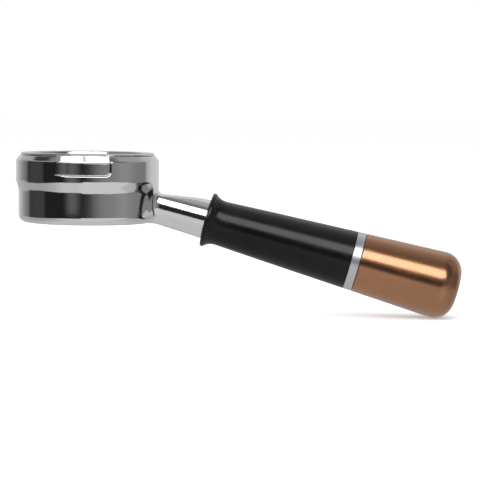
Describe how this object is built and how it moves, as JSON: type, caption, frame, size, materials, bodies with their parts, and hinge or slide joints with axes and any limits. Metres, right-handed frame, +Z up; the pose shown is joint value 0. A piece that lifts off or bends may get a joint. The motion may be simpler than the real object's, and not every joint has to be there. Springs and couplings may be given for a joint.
{
  "type": "portafilter",
  "caption": "Bottomless portafilter: bayonet-eared filter-holder ring with lift-out basket and a tilted arm, carrying a screw-on tapered handle with flared collar and screw-on end cap.",
  "frame": {"origin": "centre of the basket floor's upper face, on the filter-holder ring's axis", "axes": "+Z up along the ring's axis, out of the basket's mouth; +X from the ring towards the handle, which slopes 15 degrees down from +X in the XZ plane; +Y completes a right-handed frame"},
  "size_m": [0.2327, 0.086, 0.0836],
  "materials": {
    "polished_chrome": "polished chrome plate over forged brass, faint turning lines",
    "stainless": "drawn stainless steel, satin",
    "spring_steel": "drawn spring wire and strip",
    "zinc_steel": "bright zinc-plated steel",
    "turned_brass": "turned brass",
    "black_nylon": "moulded glass-filled nylon",
    "soft_grip": "soft-touch moulded sleeve, satin black",
    "satin_aluminium": "bead-blasted satin aluminium",
    "copper_anodised": "satin copper-brown anodised aluminium",
    "seal_rubber": "black nitrile rubber"
  },
  "bodies": {
    "filter_holder": {"filter_holder_body": "polished_chrome", "arm_stud": "zinc_steel", "arm_o_ring": "seal_rubber"},
    "spring": {"basket_spring": "spring_steel"},
    "basket": {"filter_basket": "stainless"},
    "handle_carrier": {"wave_washer": "spring_steel"},
    "handle": {"grip_sleeve": "soft_grip", "grip_core": "black_nylon", "front_insert": "turned_brass", "tail_insert": "turned_brass", "tail_stud": "zinc_steel", "tail_lock_washer": "zinc_steel", "tail_lock_nut": "zinc_steel"},
    "ring": {"spacer_ring": "satin_aluminium", "grip_o_ring": "seal_rubber", "cap_o_ring": "seal_rubber"},
    "cap": {"end_cap": "copper_anodised", "cap_weight": "zinc_steel"}
  },
  "joints": [
    {"name": "basket_turn", "type": "hinge", "parent": "filter_holder", "child": "spring", "pos_m": [0, 0, 0], "axis": [0, 0, 1], "continuous": true},
    {"name": "basket_lift", "type": "slide", "parent": "spring", "child": "basket", "axis": [0, 0, 1], "range_m": [0, 0.045]},
    {"name": "handle_travel", "type": "slide", "parent": "filter_holder", "child": "handle_carrier", "axis": [0.9659, 0, -0.2588], "range_m": [0, 0.0165]},
    {"name": "handle_unscrew", "type": "hinge", "parent": "handle_carrier", "child": "handle", "pos_m": [0.06316, 0, -0.00847], "axis": [0.9659, 0, -0.2588], "range_deg": [0, 3965]},
    {"name": "cap_travel", "type": "slide", "parent": "handle", "child": "ring", "axis": [0.9659, 0, -0.2588], "range_m": [0, 0.015]},
    {"name": "cap_unscrew", "type": "hinge", "parent": "ring", "child": "cap", "pos_m": [0.14222, 0, -0.02965], "axis": [0.9659, 0, -0.2588], "range_deg": [0, 3605]}
  ],
  "couplings": [
    {"joint": "handle_unscrew", "follows": "handle_travel", "rad_per_m": 4188.8},
    {"joint": "cap_unscrew", "follows": "cap_travel", "rad_per_m": 4188.8}
  ]
}
